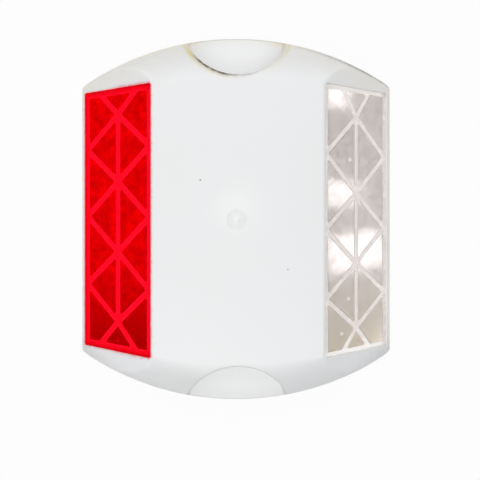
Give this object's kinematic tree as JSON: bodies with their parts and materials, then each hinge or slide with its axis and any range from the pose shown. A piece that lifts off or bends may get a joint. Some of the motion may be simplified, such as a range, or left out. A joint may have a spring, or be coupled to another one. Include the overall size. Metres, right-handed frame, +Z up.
{
  "type": "reflective road stud",
  "caption": "Low road stud with curved ends, finger grips and a red and a clear prism lens on opposite sloping faces.",
  "frame": {"origin": "middle of the flat underside, on the road surface", "axes": "+Z up from the road; +X along the traffic, towards the clear lens; +Y across the lane, towards one curved end"},
  "size_m": [0.085, 0.0992, 0.0178],
  "materials": {
    "white_abs": "semi-gloss moulded ABS",
    "red_acrylic": "polished transparent acrylic over cube-corner prisms",
    "clear_acrylic": "polished clear acrylic over cube-corner prisms",
    "cast_filling": "sand-filled casting resin"
  },
  "bodies": {
    "root": {"body_shell": "white_abs", "red_lens": "red_acrylic", "clear_lens": "clear_acrylic", "filling": "cast_filling"}
  },
  "joints": []
}
